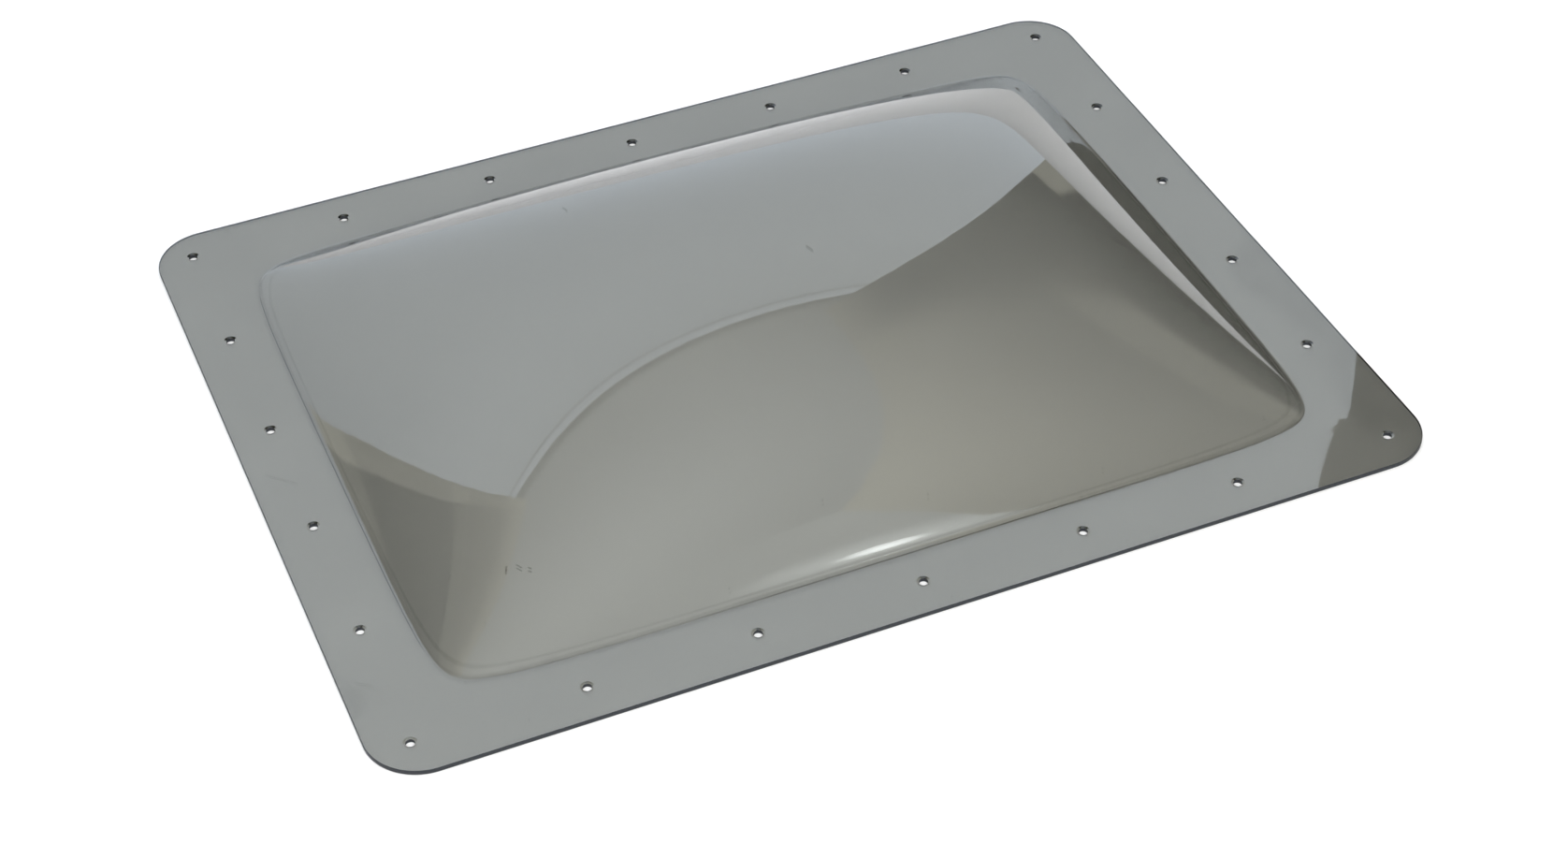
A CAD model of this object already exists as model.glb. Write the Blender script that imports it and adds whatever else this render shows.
# Looks of a smoked clear skylight cover: one sheet of polycarbonate, blown into a shallow dome
# inside a flat drilled flange, lying on a pale studio floor in front of a paper backdrop.
# Metres throughout, in the CAD frame: origin at the centre of the flange underside, Z up.
import math

import bpy
import numpy as np
from mathutils import Matrix, Vector
from mathutils.geometry import delaunay_2d_cdt


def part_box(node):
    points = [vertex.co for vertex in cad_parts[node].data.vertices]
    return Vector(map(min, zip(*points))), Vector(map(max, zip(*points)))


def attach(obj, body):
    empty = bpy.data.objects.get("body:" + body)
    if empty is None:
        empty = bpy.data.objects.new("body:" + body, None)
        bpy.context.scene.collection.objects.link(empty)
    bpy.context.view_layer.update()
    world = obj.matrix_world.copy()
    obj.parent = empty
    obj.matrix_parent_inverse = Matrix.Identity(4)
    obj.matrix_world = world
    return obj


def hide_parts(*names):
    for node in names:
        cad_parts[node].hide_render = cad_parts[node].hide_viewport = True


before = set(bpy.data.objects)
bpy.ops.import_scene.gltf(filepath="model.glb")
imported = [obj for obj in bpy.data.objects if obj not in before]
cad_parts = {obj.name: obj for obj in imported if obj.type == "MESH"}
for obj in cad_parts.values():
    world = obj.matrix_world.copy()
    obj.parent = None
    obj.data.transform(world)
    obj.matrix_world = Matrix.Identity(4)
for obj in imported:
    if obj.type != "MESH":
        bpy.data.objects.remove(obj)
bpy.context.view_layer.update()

MM = 0.001
_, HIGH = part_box("dome_cover")

# ---- the cover's shape --------------------------------------------------------------------
HALF_LENGTH = HIGH.x
HALF_WIDTH = HIGH.y
CORNER_R = 36 * MM
SHEET_T = 3.2 * MM
CROWN_T = 3.1 * MM
EDGE_ROUND = 0.3 * MM

ROOT_HALF_LENGTH = 301 * MM
ROOT_HALF_WIDTH = 226 * MM
OUTER_ROOT_R = 6 * MM
INNER_ROOT_R = 8.4 * MM

HOLE_R = 3 * MM
COUNTERSINK = 1.4 * MM
COUNTERSINK_DEPTH = 0.8 * MM
HOLE_HALF_X = 329.6 * MM
HOLE_HALF_Y = 253.4 * MM
HOLES_ALONG_X = 7
HOLES_ALONG_Y = 6

# Unevenness given to the flange by hand, so that its reflections bend as in the photograph.
SWELL = 0.07 * MM
SWELL_FADE = 25 * MM
CURL = 0.4 * MM
CURL_WAVE = 0.05 * MM
CURL_FROM_X = 298 * MM
CURL_REACH = 57.6 * MM

# The dome is a loaded membrane over a rectangular frame buried a little under the flange top.
FRAME_HALF_LENGTH = 308.4 * MM
FRAME_HALF_WIDTH = 232.2 * MM
BURIED = 6.3 * MM
LIFT_EVEN = 84.9 * MM
LIFT_X2 = 5.2 * MM
LIFT_Y2 = 3.7 * MM
LIFT_Y4 = 3.6 * MM
LIFT_X2Y2 = 3.5 * MM
DOME_TOP = HIGH.z - SHEET_T
# Just above the root the wall stands a little steeper than the membrane.
SKIRT_GAIN = 0.4 * MM
SKIRT_FADE = 1.2 * MM

# Mesh density.
COLUMNS = 600
CROWN_RINGS = 70
HOLE_SIDES = 40
CORNER_SIDES = 24
SIDE_STEP = 8 * MM
FLANGE_GRID = 9 * MM

ORDER = np.arange(1, 60, 2)
WAVE = math.pi * ORDER / 2
SIGN = np.sin(WAVE)
EVEN = 2 * SIGN / WAVE
SQUARE = 2 * SIGN * (1 / WAVE - 2 / WAVE**3)
FOURTH = 2 * SIGN * (1 / WAVE - 12 / WAVE**3 + 24 / WAVE**5)
STIFFNESS = (WAVE[:, None] / FRAME_HALF_LENGTH) ** 2 + (WAVE[None, :] / FRAME_HALF_WIDTH) ** 2


def load_case(along_x, along_y, lift):
    """Series terms of one load case on the membrane, scaled to its lift at the middle."""
    terms = np.outer(along_x, along_y) / STIFFNESS
    return lift * terms / terms.sum()


TERMS = (
    load_case(EVEN, EVEN, LIFT_EVEN)
    + load_case(SQUARE, EVEN, LIFT_X2)
    + load_case(EVEN, SQUARE, LIFT_Y2)
    + load_case(EVEN, FOURTH, LIFT_Y4)
    + load_case(SQUARE, SQUARE, LIFT_X2Y2)
)


def crown(x, y):
    """Height of the unblended outer skin over the flange top; level outside the frame."""
    x = np.clip(x, -FRAME_HALF_LENGTH, FRAME_HALF_LENGTH)
    y = np.clip(y, -FRAME_HALF_WIDTH, FRAME_HALF_WIDTH)
    along_x = np.cos(np.outer(x, WAVE) / FRAME_HALF_LENGTH)
    along_y = np.cos(np.outer(y, WAVE) / FRAME_HALF_WIDTH)
    rise = ((along_x @ TERMS) * along_y).sum(1) - BURIED
    skirt = np.where(rise > 0, 1 - np.exp(-np.maximum(rise, 0) / SKIRT_FADE), rise / SKIRT_FADE)
    return rise + SKIRT_GAIN * skirt


def slopes(height, x, y, step=0.1 * MM):
    """Slopes of a height function along X and Y."""
    along_x = (height(x + step, y) - height(x - step, y)) / (2 * step)
    along_y = (height(x, y + step) - height(x, y - step)) / (2 * step)
    return along_x, along_y


def hollow(x, y):
    """Height of the unblended inner skin over the flange underside."""
    outer = crown(x, y)
    along_x, along_y = slopes(crown, x, y)
    wall = SHEET_T - (SHEET_T - CROWN_T) * outer / DOME_TOP
    return outer - wall * np.sqrt(1 + along_x**2 + along_y**2) + SHEET_T


def blended(height, radius, x, y):
    """A skin's height with its foot rounded into the flange plane at height zero."""
    rise = height(x, y)
    along_x, along_y = slopes(height, x, y)
    steepness = np.maximum(np.hypot(along_x, along_y), 1e-6)
    angle = np.arctan(steepness)
    tangent = radius * np.tan(angle / 2)
    inward = rise / steepness
    arc = np.clip(inward + tangent, 0, radius * np.sin(angle))
    rounded = radius - np.sqrt(radius**2 - arc**2)
    return np.where(inward > tangent * np.cos(angle), rise, rounded)


def smooth(t):
    """Smoothstep from 0 to 1."""
    t = np.clip(t, 0, 1)
    return t * t * (3 - 2 * t)


def waviness(x, y):
    """Slight unevenness of the flange, fading out at the dome's root."""
    beyond = np.maximum(np.abs(x) - ROOT_HALF_LENGTH, np.abs(y) - ROOT_HALF_WIDTH)
    fade = smooth(beyond / SWELL_FADE)
    swell = np.sin(x * 47 + 1.3) * np.cos(y * 39 - 0.6) + 0.5 * np.sin(x * 23 - y * 71 + 2.1)
    # The near right corner curls up a little.
    curl = np.clip((x - CURL_FROM_X) / CURL_REACH, 0, 1) ** 1.3 * smooth((0.02 - y) / 0.15)
    return SWELL * fade * swell + (CURL + CURL_WAVE * np.sin(60 * y + 1)) * curl


def top_z(x, y):
    return SHEET_T + blended(crown, OUTER_ROOT_R, x, y) + waviness(x, y)


def under_z(x, y):
    return blended(hollow, INNER_ROOT_R, x, y) + np.maximum(waviness(x, y), 0)


class Shell:
    """Collects vertices and faces of one closed mesh."""

    def __init__(self):
        self.verts = []
        self.faces = []
        self.machined = []

    def add(self, x, y, z):
        """Adds points and returns their indices."""
        first = len(self.verts)
        self.verts.extend(zip(x.tolist(), y.tolist(), z.tolist()))
        return np.arange(first, first + len(x))

    def band(self, a, b, machined=False):
        """Quads between two closed rings of equal length; b lies on the left walking along a."""
        c, d = np.roll(b, -1), np.roll(a, -1)
        if machined:
            self.machined.extend(range(len(self.faces), len(self.faces) + len(a)))
        self.faces.extend(np.stack([a, d, c, b], 1).tolist())


def dome_rings():
    """Plan positions of the dome's rings, from the one on the flange to the one at the crown."""
    turn = 2 * math.pi * np.arange(COLUMNS) / COLUMNS
    # A ray to a stretched circle, pushed out to the frame, so columns crowd a little at corners.
    ray_x = FRAME_HALF_LENGTH * np.cos(turn)
    ray_y = FRAME_HALF_WIDTH * np.sin(turn)
    reach = 1 / np.maximum(np.abs(np.cos(turn)), np.abs(np.sin(turn)))
    ray_x, ray_y = ray_x * reach, ray_y * reach
    inside, outside = np.full(COLUMNS, 0.5), np.full(COLUMNS, 1.0)
    for _ in range(40):
        middle = (inside + outside) / 2
        above = crown(ray_x * middle, ray_y * middle) > 0
        inside, outside = np.where(above, middle, inside), np.where(above, outside, middle)
    along_x, along_y = slopes(crown, ray_x * inside, ray_y * inside)
    steepness = np.hypot(along_x, along_y)
    across = np.abs(along_x * ray_x + along_y * ray_y) / steepness
    beyond = [5.5, 6, 6.6, 7.3, 8.1, 9, 10.2, 12, 14.5]
    foot = np.concatenate([[-3.8], np.arange(-3.1, 5.1, 0.25), beyond])
    rings = [inside - d * MM / across for d in foot]
    last = rings[-1]
    rings += [last * (1 - i / CROWN_RINGS) for i in range(1, CROWN_RINGS)]
    # The outermost ring is a plain rectangle on the flat of the flange.
    side_x, side_y = ROOT_HALF_LENGTH + 8 * MM, ROOT_HALF_WIDTH + 8 * MM
    reach = 1 / np.maximum(np.abs(ray_x) / side_x, np.abs(ray_y) / side_y)
    plain = (np.clip(ray_x * reach, -side_x, side_x), np.clip(ray_y * reach, -side_y, side_y))
    return [plain] + [(ray_x * s, ray_y * s) for s in rings]


def outline(inset):
    """Plan of the flange outline moved inward, anticlockwise."""
    points = []
    radius = CORNER_R - inset
    centre_x, centre_y = HALF_LENGTH - CORNER_R, HALF_WIDTH - CORNER_R
    for quarter, (sx, sy) in enumerate(((1, 1), (-1, 1), (-1, -1), (1, -1))):
        for i in range(CORNER_SIDES + 1):
            a = math.pi / 2 * (quarter + i / CORNER_SIDES)
            x, y = sx * centre_x + radius * math.cos(a), sy * centre_y + radius * math.sin(a)
            points.append((x, y))
    spaced = []
    for i, (x0, y0) in enumerate(points):
        x1, y1 = points[(i + 1) % len(points)]
        spaced.append((x0, y0))
        parts = 1 if i % (CORNER_SIDES + 1) != CORNER_SIDES else round(
            (2 * centre_x if i // (CORNER_SIDES + 1) % 2 == 0 else 2 * centre_y) / SIDE_STEP
        )
        for k in range(1, parts):
            spaced.append((x0 + (x1 - x0) * k / parts, y0 + (y1 - y0) * k / parts))
    return np.array(spaced).T


def hole_centres():
    """All screw holes; the corner ones belong to both rows."""
    spots = set()
    for i in range(HOLES_ALONG_X):
        x = -HOLE_HALF_X + 2 * HOLE_HALF_X * i / (HOLES_ALONG_X - 1)
        spots |= {(round(x, 6), HOLE_HALF_Y), (round(x, 6), -HOLE_HALF_Y)}
    for j in range(HOLES_ALONG_Y):
        y = -HOLE_HALF_Y + 2 * HOLE_HALF_Y * j / (HOLES_ALONG_Y - 1)
        spots |= {(HOLE_HALF_X, round(y, 6)), (-HOLE_HALF_X, round(y, 6))}
    return sorted(spots)


HOLES = hole_centres()


def circle(centre, radius):
    turn = 2 * math.pi * np.arange(HOLE_SIDES) / HOLE_SIDES
    return centre[0] + radius * np.cos(turn), centre[1] + radius * np.sin(turn)


def flange_face(shell, height, loops, upward):
    """Triangulates the flange between its outline, the dome's outermost ring and the holes.
    loops are index rings already in the shell: outline, dome ring, then the holes."""
    plan = []
    index = []
    edges = []
    for ring in loops:
        start = len(plan)
        plan += [Vector(shell.verts[i][:2]) for i in ring]
        index += list(ring)
        edges += [(start + i, start + (i + 1) % len(ring)) for i in range(len(ring))]
    margin = 5 * MM
    nx, ny = int(2 * HALF_LENGTH / FLANGE_GRID), int(2 * HALF_WIDTH / FLANGE_GRID)
    gx, gy = np.meshgrid(
        np.linspace(-HALF_LENGTH + margin, HALF_LENGTH - margin, nx),
        np.linspace(-HALF_WIDTH + margin, HALF_WIDTH - margin, ny),
    )
    gx, gy = gx.ravel(), gy.ravel()
    keep = np.maximum(np.abs(gx) - ROOT_HALF_LENGTH, np.abs(gy) - ROOT_HALF_WIDTH) > 11 * MM
    corner = np.hypot(
        np.maximum(np.abs(gx) - HALF_LENGTH + CORNER_R, 0),
        np.maximum(np.abs(gy) - HALF_WIDTH + CORNER_R, 0),
    )
    keep &= corner < CORNER_R - margin / 2
    for cx, cy in HOLES:
        keep &= np.hypot(gx - cx, gy - cy) > HOLE_R + COUNTERSINK + 3 * MM
    gx, gy = gx[keep], gy[keep]
    index += list(shell.add(gx, gy, height(gx, gy)))
    plan += [Vector(p) for p in zip(gx.tolist(), gy.tolist())]
    points, _, faces, origins, _, _ = delaunay_2d_cdt(plan, edges, [], 1, 1e-7, True)
    place = {i: (k, n) for k, ring in enumerate(loops[1:]) for n, i in enumerate(ring)}
    for face in faces:
        ring = [index[origins[i][0]] for i in face]
        spots = [place.get(i, (-1, 0)) for i in ring]
        climbs = sum(a[1] < b[1] for a, b in zip(spots, spots[1:] + spots[:1]))
        if spots[0][0] >= 0 and len({k for k, _ in spots}) == 1 and climbs == 2:
            continue  # it turns with its loop, so it fills the dome's mouth or a hole
        shell.faces.append(ring if upward else ring[::-1])


def build_cover():
    """The whole sheet as one closed mesh."""
    shell = Shell()
    rings = dome_rings()
    top_rings = [shell.add(x, y, top_z(x, y)) for x, y in rings]
    low_rings = [shell.add(x, y, under_z(x, y)) for x, y in rings]
    for a, b in zip(top_rings, top_rings[1:]):
        shell.band(a, b)
    for a, b in zip(low_rings, low_rings[1:]):
        shell.band(b, a)
    centre = np.zeros(1)
    pole_top = shell.add(centre, centre, top_z(centre, centre))[0]
    pole_low = shell.add(centre, centre, under_z(centre, centre))[0]
    for i in range(COLUMNS):
        j = (i + 1) % COLUMNS
        shell.faces.append([top_rings[-1][i], top_rings[-1][j], pole_top])
        shell.faces.append([low_rings[-1][j], low_rings[-1][i], pole_low])

    # The cut edge of the sheet, its arrises eased.
    edge = []
    for inset, drop in ((1.0, 0), (0.29, 0.29), (0, 1)):
        x, y = outline(inset * EDGE_ROUND)
        edge.append(shell.add(x, y, top_z(x, y) - drop * EDGE_ROUND))
    for inset, lift in ((0, 1), (0.29, 0.29), (1.0, 0)):
        x, y = outline(inset * EDGE_ROUND)
        edge.append(shell.add(x, y, under_z(x, y) + lift * EDGE_ROUND))
    for a, b in zip(edge, edge[1:]):
        shell.band(b, a, machined=True)

    # Screw holes, lightly countersunk from above.
    top_loops, low_loops = [], []
    for spot in HOLES:
        x, y = circle(spot, HOLE_R + COUNTERSINK)
        mouth = shell.add(x, y, top_z(x, y))
        x, y = circle(spot, HOLE_R)
        seat = shell.add(x, y, top_z(x, y) - COUNTERSINK_DEPTH)
        exit_ring = shell.add(x, y, under_z(x, y))
        shell.band(mouth, seat)
        shell.band(seat, exit_ring, machined=True)
        top_loops.append(mouth)
        low_loops.append(exit_ring)

    flange_face(shell, top_z, [edge[0], top_rings[0]] + top_loops, True)
    flange_face(shell, under_z, [edge[-1], low_rings[0]] + low_loops, False)

    mesh = bpy.data.meshes.new("smoked_cover")
    mesh.from_pydata(shell.verts, [], shell.faces)
    for i in shell.machined:
        mesh.polygons[i].material_index = 1
    mesh.validate()
    mesh.polygons.foreach_set("use_smooth", [True] * len(mesh.polygons))
    mesh.set_sharp_from_angle(angle=math.radians(20))
    cover = bpy.data.objects.new("smoked_cover", mesh)
    bpy.context.collection.objects.link(cover)
    return cover


# ---- materials ----------------------------------------------------------------------------
def new_material(name):
    material = bpy.data.materials.new(name)
    material.use_nodes = True
    tree = material.node_tree
    tree.nodes.clear()
    return material, tree.nodes, tree.links


class Formula:
    """Builds one material whose numbers depend on the place on the object, in a few named steps."""

    def __init__(self, name):
        self.material, self.nodes, self.links = new_material(name)
        self.place = self.nodes.new("ShaderNodeTexCoord").outputs["Object"]
        split = self.nodes.new("ShaderNodeSeparateXYZ")
        self.links.new(self.place, split.inputs[0])
        self.x, self.y, self.z = split.outputs
        flat = self.nodes.new("ShaderNodeCombineXYZ")
        self.links.new(self.x, flat.inputs["X"])
        self.links.new(self.y, flat.inputs["Y"])
        self.plan = flat.outputs["Vector"]

    def ramp(self, value, low, high, at_low, at_high):
        step = self.nodes.new("ShaderNodeMapRange")
        step.interpolation_type = "SMOOTHSTEP"
        names = ("From Min", "From Max", "To Min", "To Max")
        for name, number in zip(names, (low, high, at_low, at_high)):
            step.inputs[name].default_value = number
        self.links.new(value, step.inputs["Value"])
        return step.outputs["Result"]

    def math(self, operation, a, b, clamp=False):
        node = self.nodes.new("ShaderNodeMath")
        node.operation = operation
        node.use_clamp = clamp
        for socket, value in zip(node.inputs, (a, b)):
            if isinstance(value, (int, float)):
                socket.default_value = value
            else:
                self.links.new(value, socket)
        return node.outputs[0]

    def times(self, *values):
        product = values[0]
        for value in values[1:]:
            product = self.math("MULTIPLY", product, value)
        return product

    def plus(self, *values):
        total = values[0]
        for value in values[1:]:
            total = self.math("ADD", total, value)
        return total

    def most(self, *values):
        top = values[0]
        for value in values[1:]:
            top = self.math("MAXIMUM", top, value)
        return top

    def vector(self, operation, a, b, output="Vector"):
        node = self.nodes.new("ShaderNodeVectorMath")
        node.operation = operation
        for socket, value in zip(node.inputs, (a, b)):
            if isinstance(value, tuple):
                socket.default_value = value
            elif value is not None:
                self.links.new(value, socket)
        return node.outputs[output]

    def distance(self, point):
        return self.vector("DISTANCE", self.place, point, "Value")

    def noise(self, scale, detail=2.0):
        node = self.nodes.new("ShaderNodeTexNoise")
        node.inputs["Scale"].default_value = scale
        node.inputs["Detail"].default_value = detail
        self.links.new(self.place, node.inputs["Vector"])
        return node.outputs["Fac"]

    def flecks(self, turn, scale_x, scale_y, size, share):
        """Scattered flecks in plan: cells per metre each way, size in cells, share of cells."""
        put = self.nodes.new("ShaderNodeMapping")
        put.inputs["Rotation"].default_value = (0, 0, math.radians(turn))
        put.inputs["Scale"].default_value = (scale_x, scale_y, 1)
        cells = self.nodes.new("ShaderNodeTexVoronoi")
        cells.voronoi_dimensions = "2D"
        cells.inputs["Scale"].default_value = 1.0
        split = self.nodes.new("ShaderNodeSeparateColor")
        self.links.new(self.plan, put.inputs["Vector"])
        self.links.new(put.outputs["Vector"], cells.inputs["Vector"])
        self.links.new(cells.outputs["Color"], split.inputs["Color"])
        chosen = self.math("LESS_THAN", split.outputs["Red"], share)
        return self.times(self.ramp(cells.outputs["Distance"], 0.6 * size, size, 1, 0), chosen)

    def stroke(self, start, end, half_width):
        """A straight mark between two plan points in millimetres."""
        a = Vector((start[0], start[1], 0)) * MM
        b = Vector((end[0], end[1], 0)) * MM
        span = b - a
        offset = self.vector("SUBTRACT", self.plan, tuple(a))
        along = self.vector("DOT_PRODUCT", offset, tuple(span / span.length_squared), "Value")
        along = self.math("MULTIPLY", along, 1.0, clamp=True)
        node = self.nodes.new("ShaderNodeVectorMath")
        node.operation = "SCALE"
        node.inputs[0].default_value = tuple(span)
        self.links.new(along, node.inputs["Scale"])
        gap = self.vector("DISTANCE", offset, node.outputs["Vector"], "Value")
        return self.ramp(gap, 0.5 * half_width, half_width, 1, 0)


# Marks and scratches seen on the cover: start, end and half width in plan, in millimetres.
MARKS = (
    ((-101.2, 106), (-100.7, 97), 0.5),
    ((21, -26), (23, -31.5), 0.6),
    ((-238, -166), (-239, -168), 0.8),
    ((-232, -168), (-230, -171), 0.5),
    ((-226, -173), (-225, -174), 0.7),
)
SCRATCHES = (
    ((-344.4, 9.2), (-327.5, -7.5), 0.45),
    ((-345, -193.9), (-336, -200), 0.4),
    ((250, -60), (214, -30), 0.35),
)


def smoked_polycarbonate():
    """Clear glossy sheet that absorbs light evenly through its thickness, lightly handled."""
    f = Formula("smoked_polycarbonate")
    nodes, links = f.nodes, f.links

    marks = f.most(*[f.stroke(a, b, w * MM) for a, b, w in MARKS])
    scratches = f.most(*[f.stroke(a, b, w * MM) for a, b, w in SCRATCHES])
    # Finer wear isn't traced from the photograph.
    hairlines = f.flecks(35, 9, 420, 0.09, 0.1)
    specks = f.flecks(12, 60, 60, 0.035, 0.07)
    smears = f.ramp(f.noise(11.0, 3.0), 0.5, 0.75, 0, 1)
    handled = f.times(f.ramp(f.distance((-0.358, -0.208, 0.0032)), 0.008, 0.03, 1, 0),
                      f.ramp(f.noise(110.0, 2.0), 0.42, 0.6, 0, 1))
    # A thin dark line at the dome's root, shown here as dirt.
    crease = f.times(f.ramp(f.z, 3.25 * MM, 3.45 * MM, 0, 1), f.ramp(f.z, 4.1 * MM, 4.6 * MM, 1, 0),
                     f.ramp(f.noise(35.0, 3.0), 0.3, 0.7, 0.6, 1.0))

    dirt = f.plus(f.times(marks, 0.55), f.times(scratches, 0.22), f.times(hairlines, 0.07),
                  f.times(specks, 0.4), f.times(smears, 0.015), f.times(handled, 0.07),
                  f.times(crease, 0.2))
    tone = nodes.new("ShaderNodeMix")
    tone.data_type = "RGBA"
    tone.inputs["A"].default_value = (1, 1, 1, 1)
    tone.inputs["B"].default_value = (0.09, 0.08, 0.06, 1)
    links.new(f.math("MULTIPLY", dirt, 1.0, clamp=True), tone.inputs["Factor"])

    gloss = f.plus(f.times(smears, 0.012), f.times(f.most(scratches, hairlines), 0.06),
                   f.times(handled, 0.05), f.ramp(f.noise(700.0), 0.3, 0.7, 0.012, 0.02))
    # Gentle ripple of the formed sheet, in metres.
    ripple = f.plus(f.times(f.noise(9.0, 0.0), 0.07 * MM), f.times(f.noise(34.0, 1.0), 0.008 * MM))
    bump = nodes.new("ShaderNodeBump")
    bump.inputs["Strength"].default_value = 1.0
    bump.inputs["Distance"].default_value = 1.0
    links.new(ripple, bump.inputs["Height"])

    out = nodes.new("ShaderNodeOutputMaterial")
    skin = nodes.new("ShaderNodeBsdfPrincipled")
    skin.inputs["IOR"].default_value = 1.585
    skin.inputs["Transmission Weight"].default_value = 1.0
    links.new(tone.outputs["Result"], skin.inputs["Base Color"])
    links.new(gloss, skin.inputs["Roughness"])
    links.new(bump.outputs["Normal"], skin.inputs["Normal"])
    smoke = nodes.new("ShaderNodeVolumeAbsorption")
    density = 400.0
    per_metre = (262.0, 261.0, 279.0)
    smoke.inputs["Density"].default_value = density
    smoke.inputs["Color"].default_value = [1 - a / density for a in per_metre] + [1]
    links.new(skin.outputs["BSDF"], out.inputs["Surface"])
    links.new(smoke.outputs["Volume"], out.inputs["Volume"])
    return f.material


def routed_edge():
    """Sawn and drilled faces: matt, and nearly black because little light leaves through them."""
    material, nodes, links = new_material("routed_edge")
    out = nodes.new("ShaderNodeOutputMaterial")
    skin = nodes.new("ShaderNodeBsdfPrincipled")
    place = nodes.new("ShaderNodeTexCoord")
    grain = nodes.new("ShaderNodeTexNoise")
    grain.inputs["Scale"].default_value = 900.0
    grain.inputs["Detail"].default_value = 4.0
    tone = nodes.new("ShaderNodeMix")
    tone.data_type = "RGBA"
    tone.inputs["A"].default_value = (0.004, 0.006, 0.010, 1)
    tone.inputs["B"].default_value = (0.012, 0.016, 0.024, 1)
    gloss = nodes.new("ShaderNodeMapRange")
    gloss.inputs["To Min"].default_value = 0.35
    gloss.inputs["To Max"].default_value = 0.6
    cut = nodes.new("ShaderNodeBump")
    cut.inputs["Strength"].default_value = 0.3
    cut.inputs["Distance"].default_value = 0.05 * MM
    links.new(place.outputs["Object"], grain.inputs["Vector"])
    links.new(grain.outputs["Fac"], tone.inputs["Factor"])
    links.new(tone.outputs["Result"], skin.inputs["Base Color"])
    links.new(grain.outputs["Fac"], gloss.inputs["Value"])
    links.new(gloss.outputs["Result"], skin.inputs["Roughness"])
    links.new(grain.outputs["Fac"], cut.inputs["Height"])
    links.new(cut.outputs["Normal"], skin.inputs["Normal"])
    links.new(skin.outputs["BSDF"], out.inputs["Surface"])
    return material


cover = build_cover()
cover.data.materials.append(smoked_polycarbonate())
cover.data.materials.append(routed_edge())
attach(cover, "root")
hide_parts("dome_cover")

# ---- studio -------------------------------------------------------------------------------
# A paper sweep hangs from a roll behind the cover; dark wings stand at both sides of it, and
# soft boxes light the floor from beside and above the camera.
PAPER_LEFT = Vector((-1.446, 1.460, 0))
PAPER_RIGHT = Vector((1.455, 1.398, 0))
ROLL_Z = 3.5
CEILING_Z = 4.2
FRONT_Y = -2.93
COOL = (0.91, 1.0, 1.10)
NEUTRAL = (0.95, 1.0, 1.0)
WARM = (1.02, 1.0, 0.85)


def glow(f, tint, strength):
    """Finishes a formula as the glow of a light panel."""
    lamp = f.nodes.new("ShaderNodeEmission")
    out = f.nodes.new("ShaderNodeOutputMaterial")
    lamp.inputs["Color"].default_value = tint + (1,)
    if isinstance(strength, (int, float)):
        lamp.inputs["Strength"].default_value = strength
    else:
        f.links.new(strength, lamp.inputs["Strength"])
    f.links.new(lamp.outputs["Emission"], out.inputs["Surface"])
    return f.material


def panel(name, corners, material):
    """A flat light panel that the camera doesn't see."""
    mesh = bpy.data.meshes.new(name)
    mesh.from_pydata([tuple(c) for c in corners], [], [tuple(range(len(corners)))])
    thing = bpy.data.objects.new(name, mesh)
    bpy.context.collection.objects.link(thing)
    mesh.materials.append(material)
    thing.visible_camera = False
    return thing


def wall(name, a, b, low, high, material):
    """An upright panel over the floor line from a to b."""
    low, high = Vector((0, 0, low)), Vector((0, 0, high))
    return panel(name, (a + low, b + low, b + high, a + high), material)


f = Formula("backdrop_glow")
across = f.ramp(f.x, -1.45, 1.45, 2.15, 1.95)
up = f.ramp(f.z, -0.2, 1.9, 0.64, 1.0)
roll_under = f.ramp(f.z, 3.09, 3.13, 1.0, 0.62)
roll_face = f.ramp(f.z, 3.2, 3.24, 1.0, 1.75)
wall("backdrop", PAPER_LEFT, PAPER_RIGHT, 0, ROLL_Z,
     glow(f, COOL, f.times(across, up, roll_under, roll_face)))

FRONT_LEFT = Vector((PAPER_LEFT.x, FRONT_Y, 0))
FRONT_RIGHT = Vector((PAPER_RIGHT.x, FRONT_Y, 0))

f = Formula("left_glow")
paper_strip = f.times(f.ramp(f.y, 1.355, 1.37, 0, 0.66), f.ramp(f.z, 1.5, 2.0, 1, 0.45))
low_strip = f.times(f.ramp(f.z, 0.50, 0.54, 0.42, 0), f.ramp(f.y, 1.1, 1.2, 0, 1))
shelf = f.ramp(f.z, 1.47, 1.5, 0, 0.36)
rail = f.times(f.ramp(f.z, 1.74, 1.76, 0, 0.3), f.ramp(f.z, 1.79, 1.81, 1, 0))
above = f.ramp(f.z, 1.8, 2.5, 0, 0.22)
haze = f.ramp(f.z, 2.55, 3.9, 0, 0.75)
wall("left_side", FRONT_LEFT, PAPER_LEFT, 0, CEILING_Z,
     glow(f, WARM, f.plus(paper_strip, low_strip, shelf, rail, above, haze)))

f = Formula("right_glow")
toward = f.ramp(f.y, -2.8, 0.9, 2.0, 1.0)
rise = f.ramp(f.z, 1.5, 4.2, 0.36, 1.0)
shade = f.ramp(f.y, 0.35, 1.1, 1.0, 0.0)
high = f.ramp(f.z, 2.9, 4.2, 0, 0.85)
bench = f.times(f.ramp(f.z, 0.75, 0.95, 0, 0.3), f.ramp(f.z, 1.43, 1.46, 1, 0),
                f.ramp(f.y, 0.55, 0.8, 1, 0))
under_bench = f.ramp(f.z, 0.6, 0.9, 0.0, 1.0)
skirting = f.times(f.ramp(f.z, 0.2, 0.22, 0.5, 0), f.ramp(f.y, 1.22, 1.26, 0, 1))
wall("right_side", PAPER_RIGHT, FRONT_RIGHT, 0, CEILING_Z,
     glow(f, WARM, f.plus(f.most(f.times(toward, rise, shade, under_bench), high),
                          bench, skirting)))

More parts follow.
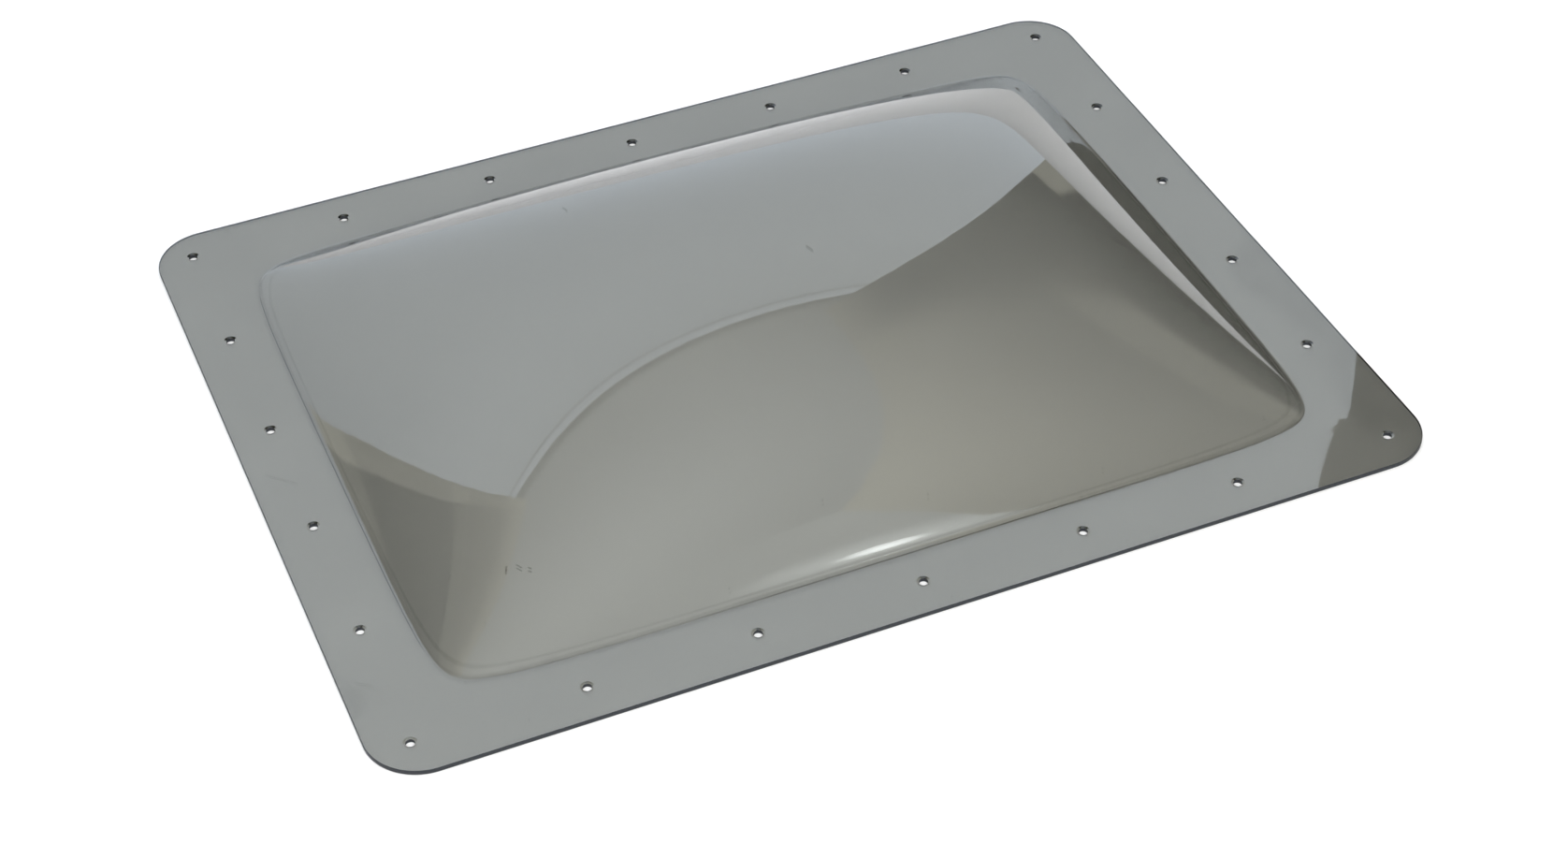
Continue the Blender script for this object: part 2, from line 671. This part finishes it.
f = Formula("front_glow")
reach = f.distance((1.2, FRONT_Y, 2.78))
core = f.ramp(reach, 0.02, 0.13, 9.0, 0)
halo = f.ramp(reach, 0.05, 0.45, 2.0, 0)
wall("front_side", FRONT_RIGHT, FRONT_LEFT, 0, CEILING_Z,
     glow(f, NEUTRAL, f.plus(f.ramp(f.z, 0.8, 2.4, 0.6, 2.1), core, halo)))

f = Formula("ceiling_glow")
CEILING_PLAN = ((-3, FRONT_Y), (3.4, FRONT_Y), (3.4, 2.6), (-3, 2.6))
panel("ceiling", [Vector((x, y, CEILING_Z)) for x, y in CEILING_PLAN],
      glow(f, NEUTRAL, f.times(f.ramp(f.y, -2.0, 1.6, 2.3, 1.45), f.ramp(f.x, 0.2, 2.8, 1.0, 0.3),
                              f.ramp(f.y, 1.45, 1.7, 1.0, 0.5))))

f = Formula("key_glow")
KEY_FACE = ((-1.25, 0.8), (-0.05, 0.8), (-0.05, 1.8), (-1.25, 1.8))
panel("key_box", [Vector((x, -1.55, z)) for x, z in KEY_FACE],
      glow(f, NEUTRAL, 8.5))
f = Formula("fill_glow")
FILL_FACE = ((-2.4, 0.9), (-0.3, 0.9), (-0.3, 2.6), (-2.4, 2.6))
panel("fill_box", [Vector((-1.40, y, z)) for y, z in FILL_FACE],
      glow(f, NEUTRAL, 1.5))

floor_mesh = bpy.data.meshes.new("floor")
floor_mesh.from_pydata([(-30, -30, 0), (30, -30, 0), (30, 30, 0), (-30, 30, 0)], [], [(0, 1, 2, 3)])
floor = bpy.data.objects.new("floor", floor_mesh)
bpy.context.collection.objects.link(floor)
floor.location.z = -0.2 * MM  # a hair below the flange, so the two faces don't coincide
paper, nodes, links = new_material("white_paper")
paper_out = nodes.new("ShaderNodeOutputMaterial")
paper_skin = nodes.new("ShaderNodeBsdfPrincipled")
paper_skin.inputs["Base Color"].default_value = (0.94, 0.9, 0.91, 1)
paper_skin.inputs["Roughness"].default_value = 0.9
paper_skin.inputs["Specular IOR Level"].default_value = 0.1
links.new(paper_skin.outputs["BSDF"], paper_out.inputs["Surface"])
floor_mesh.materials.append(paper)

# The panels close the room, so the world only lights what stands outside it.
world = bpy.data.worlds.new("studio")
world.use_nodes = True
world.node_tree.nodes["Background"].inputs["Color"].default_value = (1, 1, 1, 1)
world.node_tree.nodes["Background"].inputs["Strength"].default_value = 1.1
bpy.context.scene.world = world

# ---- camera -------------------------------------------------------------------------------
CAMERA_AT = Vector((-0.5654, -1.4465, 1.2774))
FORWARD = Vector((0.28028, 0.70198, -0.65473)).normalized()
RIGHT = Vector((0.92111, -0.38866, -0.02240))
RIGHT = (RIGHT - RIGHT.dot(FORWARD) * FORWARD).normalized()
UP = RIGHT.cross(FORWARD)
lens = bpy.data.cameras.new("camera")
lens.lens = 68.45
lens.sensor_width = 36
camera = bpy.data.objects.new("camera", lens)
turn = Matrix((RIGHT, UP, -FORWARD)).transposed().to_4x4()
camera.matrix_world = Matrix.Translation(CAMERA_AT) @ turn
bpy.context.collection.objects.link(camera)
bpy.context.scene.camera = camera
bpy.context.scene.view_settings.view_transform = "Standard"
# Light reaches the paper under the cover through the clear sheet, so it isn't blurred there.
bpy.context.scene.cycles.blur_glossy = 0
